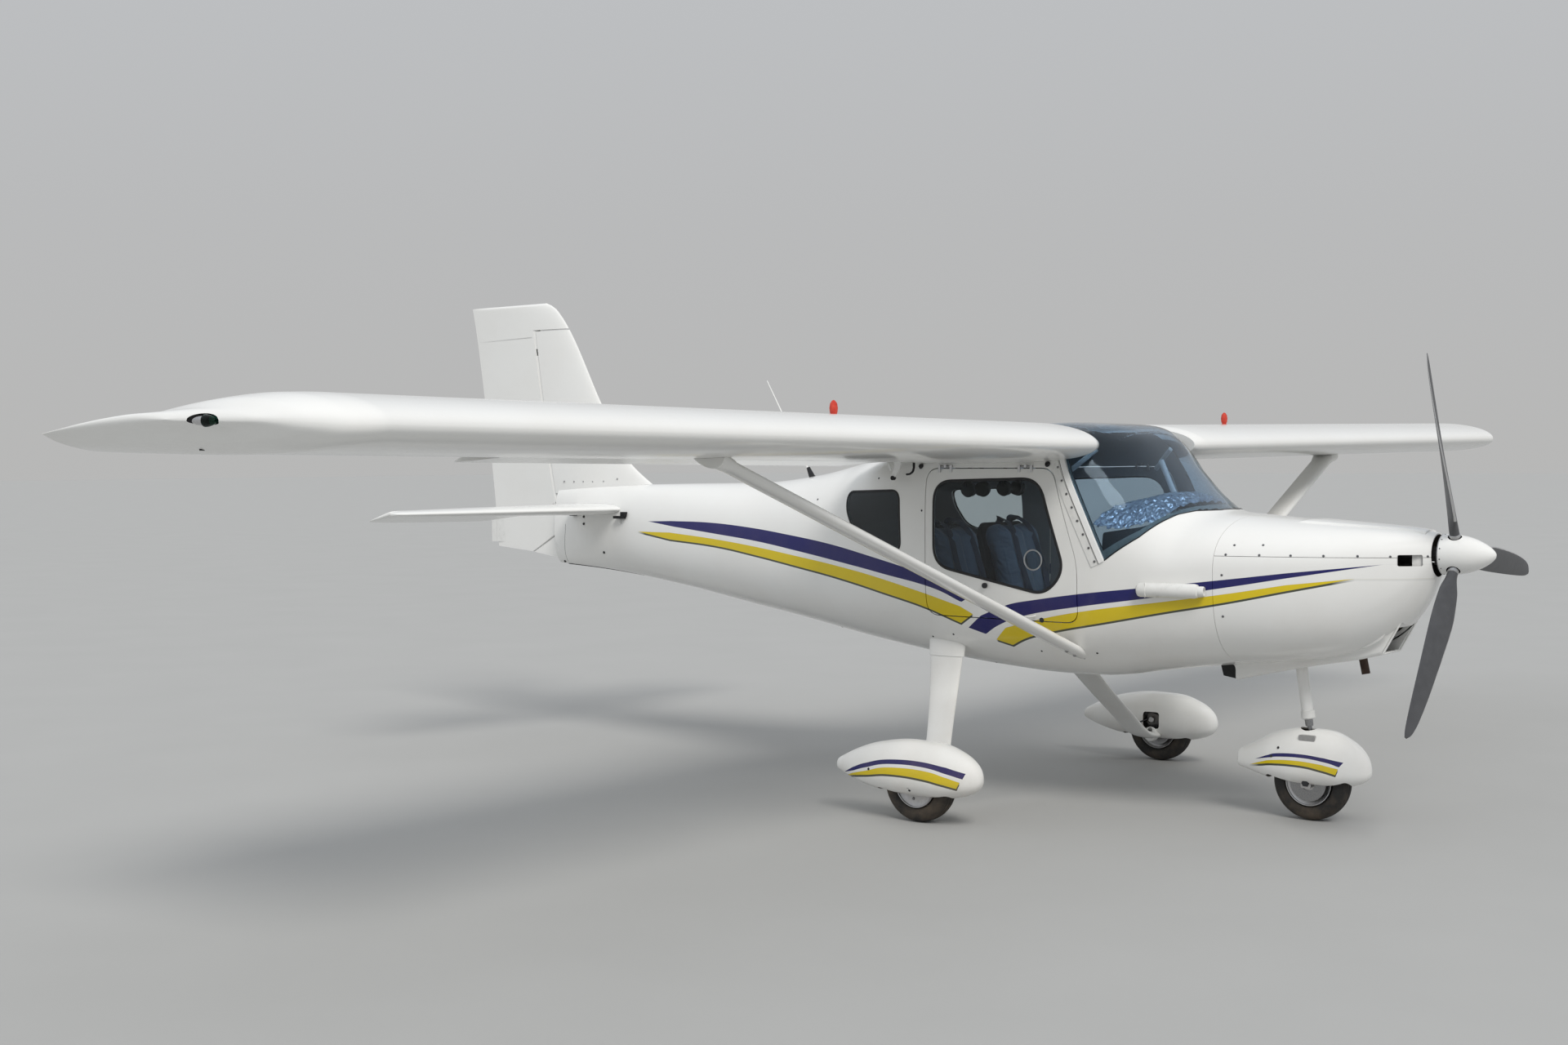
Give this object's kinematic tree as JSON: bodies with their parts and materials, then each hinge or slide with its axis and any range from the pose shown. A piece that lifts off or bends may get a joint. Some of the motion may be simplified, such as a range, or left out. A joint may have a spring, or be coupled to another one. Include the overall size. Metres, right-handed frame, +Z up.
{
  "type": "light aircraft",
  "caption": "High-wing strut-braced two-seat light aircraft on fixed tricycle gear, with gull doors, control surfaces, steerable nose wheel and a turning propeller.",
  "frame": {"origin": "on the ground, under the middle of the overall length and span", "axes": "+X towards the nose, +Y towards the left wing tip, +Z up"},
  "size_m": [6.018, 9.03, 2.421],
  "materials": {
    "white_gelcoat": "white gloss gelcoat over fibre composite, with dark blue and yellow bands",
    "tinted_glazing": "clear acrylic with a light blue-grey tint",
    "bare_alloy": "bare machined and cast aluminium",
    "exhaust_steel": "heat-stained steel",
    "tyre_rubber": "black rubber, dusty",
    "carbon_blade": "dark grey composite, semi-gloss",
    "seat_cloth": "dark blue-grey upholstery cloth",
    "dark_plastic": "dark grey grained plastic"
  },
  "bodies": {
    "airframe": {"cabin_shell": "white_gelcoat", "tail_cone": "white_gelcoat", "upper_cowling": "white_gelcoat", "lower_cowling": "white_gelcoat", "belly_duct": "white_gelcoat", "engine_block": "bare_alloy", "exhaust_pipe": "exhaust_steel", "windscreen": "tinted_glazing", "left_quarter_window": "tinted_glazing", "right_quarter_window": "tinted_glazing", "left_seat": "seat_cloth", "right_seat": "seat_cloth", "left_control_stick": "dark_plastic", "right_control_stick": "dark_plastic", "center_console": "dark_plastic", "instrument_panel": "dark_plastic", "left_wing": "white_gelcoat", "right_wing": "white_gelcoat", "left_strut": "white_gelcoat", "right_strut": "white_gelcoat", "fin": "white_gelcoat", "stabilizer": "white_gelcoat", "left_main_leg": "white_gelcoat", "right_main_leg": "white_gelcoat", "left_wheel_pant": "white_gelcoat", "right_wheel_pant": "white_gelcoat", "nose_leg": "white_gelcoat", "side_scoop": "white_gelcoat", "whip_antenna": "white_gelcoat"},
    "propeller": {"propeller": "carbon_blade", "spinner": "white_gelcoat"},
    "left_main_wheel": {"left_wheel_hub": "bare_alloy", "left_wheel_tyre": "tyre_rubber"},
    "right_main_wheel": {"right_wheel_hub": "bare_alloy", "right_wheel_tyre": "tyre_rubber"},
    "nose_steering": {"nose_fork": "bare_alloy", "nose_pant": "white_gelcoat"},
    "nose_wheel": {"nose_wheel_hub": "bare_alloy", "nose_wheel_tyre": "tyre_rubber"},
    "left_door": {"left_door": "white_gelcoat", "left_door_window": "tinted_glazing"},
    "right_door": {"right_door": "white_gelcoat", "right_door_window": "tinted_glazing"},
    "rudder": {"rudder": "white_gelcoat"},
    "elevator": {"elevator": "white_gelcoat"},
    "left_aileron": {"left_aileron": "white_gelcoat"},
    "right_aileron": {"right_aileron": "white_gelcoat"},
    "left_flap": {"left_flap": "white_gelcoat"},
    "right_flap": {"right_flap": "white_gelcoat"}
  },
  "joints": [
    {"name": "propeller_spin", "type": "hinge", "parent": "airframe", "child": "propeller", "pos_m": [2.856, 0, 1.13], "axis": [1, 0, 0], "continuous": true},
    {"name": "left_wheel_roll", "type": "hinge", "parent": "airframe", "child": "left_main_wheel", "pos_m": [0.976, 1.04, 0.162], "axis": [0, 1, 0], "continuous": true},
    {"name": "right_wheel_roll", "type": "hinge", "parent": "airframe", "child": "right_main_wheel", "pos_m": [0.976, -1.04, 0.162], "axis": [0, 1, 0], "continuous": true},
    {"name": "nose_steer", "type": "hinge", "parent": "airframe", "child": "nose_steering", "pos_m": [2.238, 0, 0.372], "axis": [-0.144, 0, 0.9896], "range_deg": [-25, 25]},
    {"name": "nose_wheel_roll", "type": "hinge", "parent": "nose_steering", "child": "nose_wheel", "pos_m": [2.25, 0, 0.162], "axis": [0, 1, 0], "continuous": true},
    {"name": "left_door_hinge", "type": "hinge", "parent": "airframe", "child": "left_door", "pos_m": [0.976, 0.522, 1.488], "axis": [1, 0, 0], "range_deg": [0, 75]},
    {"name": "right_door_hinge", "type": "hinge", "parent": "airframe", "child": "right_door", "pos_m": [0.976, -0.522, 1.488], "axis": [-1, 0, 0], "range_deg": [0, 75]},
    {"name": "rudder_hinge", "type": "hinge", "parent": "airframe", "child": "rudder", "pos_m": [-2.2574, 0, 1.018], "axis": [-0.1637, 0, 0.9865], "range_deg": [-25, 25]},
    {"name": "elevator_hinge", "type": "hinge", "parent": "airframe", "child": "elevator", "pos_m": [-2.09, 0, 1.256], "axis": [0, 1, 0], "range_deg": [-6, 39]},
    {"name": "left_aileron_hinge", "type": "hinge", "parent": "airframe", "child": "left_aileron", "pos_m": [0.464, 2.912, 1.56253], "axis": [0, 0.9999, 0.0123], "range_deg": [-20, 20]},
    {"name": "right_aileron_hinge", "type": "hinge", "parent": "airframe", "child": "right_aileron", "pos_m": [0.464, -2.912, 1.56253], "axis": [0, 0.9999, -0.0123], "range_deg": [-20, 20]},
    {"name": "left_flap_hinge", "type": "hinge", "parent": "airframe", "child": "left_flap", "pos_m": [0.464, 0.61, 1.53421], "axis": [0, -0.9999, -0.0123], "range_deg": [-5, 35]},
    {"name": "right_flap_hinge", "type": "hinge", "parent": "airframe", "child": "right_flap", "pos_m": [0.464, -0.61, 1.53421], "axis": [0, -0.9999, 0.0123], "range_deg": [-5, 35]}
  ],
  "couplings": [
    {"joint": "right_aileron_hinge", "follows": "left_aileron_hinge", "ratio": -1},
    {"joint": "right_flap_hinge", "follows": "left_flap_hinge", "ratio": 1}
  ]
}
